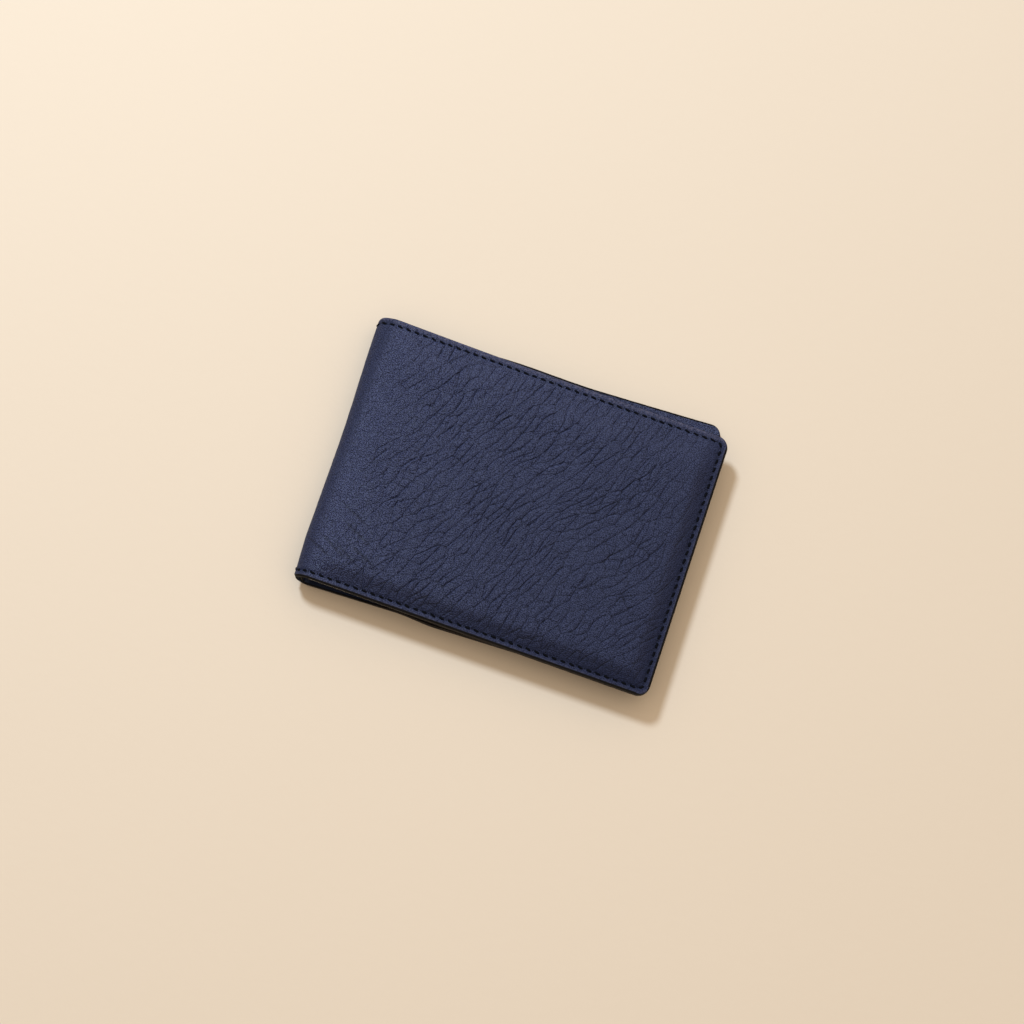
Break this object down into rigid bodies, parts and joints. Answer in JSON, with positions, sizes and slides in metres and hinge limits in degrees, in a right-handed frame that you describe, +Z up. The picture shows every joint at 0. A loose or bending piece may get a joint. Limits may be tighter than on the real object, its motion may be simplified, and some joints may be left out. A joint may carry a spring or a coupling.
{
  "type": "bifold wallet",
  "caption": "Closed bifold leather wallet with pebbled covers, a banknote compartment and card pockets, which opens flat about its fold.",
  "frame": {"origin": "under the middle of the closed wallet, on the surface it lies on", "axes": "+X from the fold to the free edges, +Y along the fold towards the mouth of the banknote compartment, +Z up from the rear leaf to the front leaf"},
  "size_m": [0.1154, 0.0894, 0.011],
  "materials": {
    "cover_leather": "satin pebbled full grain, navy",
    "inner_leather": "smooth satin, dark navy",
    "lining_fabric": "fine twill, dark navy",
    "padding_foam": "matte foam",
    "thread": "waxed thread, near black",
    "edge_paint": "satin edge paint, near black"
  },
  "bodies": {
    "rear_leaf": {"rear_cover": "cover_leather", "rear_padding": "padding_foam", "rear_lining": "lining_fabric", "rear_divider": "inner_leather", "rear_card_panel": "inner_leather", "rear_pocket_lower": "inner_leather", "rear_pocket_middle": "inner_leather", "rear_pocket_upper": "inner_leather", "rear_outer_stitching": "thread", "rear_inner_stitching": "thread", "rear_pocket_stitching": "thread"},
    "spine": {"spine_cover": "cover_leather", "spine_lining": "lining_fabric", "spine_gusset": "inner_leather", "spine_stitching": "thread"},
    "front_leaf": {"front_cover": "cover_leather", "front_padding": "padding_foam", "front_lining": "lining_fabric", "front_divider": "inner_leather", "front_card_panel": "inner_leather", "front_pocket_lower": "inner_leather", "front_pocket_middle": "inner_leather", "front_pocket_upper": "inner_leather", "front_outer_stitching": "thread", "front_inner_stitching": "thread", "front_pocket_stitching": "thread"}
  },
  "joints": [
    {"name": "rear_fold", "type": "hinge", "parent": "rear_leaf", "child": "spine", "pos_m": [-0.05609, 0, 0.00161], "axis": [0, -1, 0], "range_deg": [0, 90]},
    {"name": "front_fold", "type": "hinge", "parent": "spine", "child": "front_leaf", "pos_m": [-0.05609, 0, 0.00939], "axis": [0, -1, 0], "range_deg": [0, 90]}
  ],
  "couplings": [
    {"joint": "front_fold", "follows": "rear_fold", "ratio": 1}
  ]
}
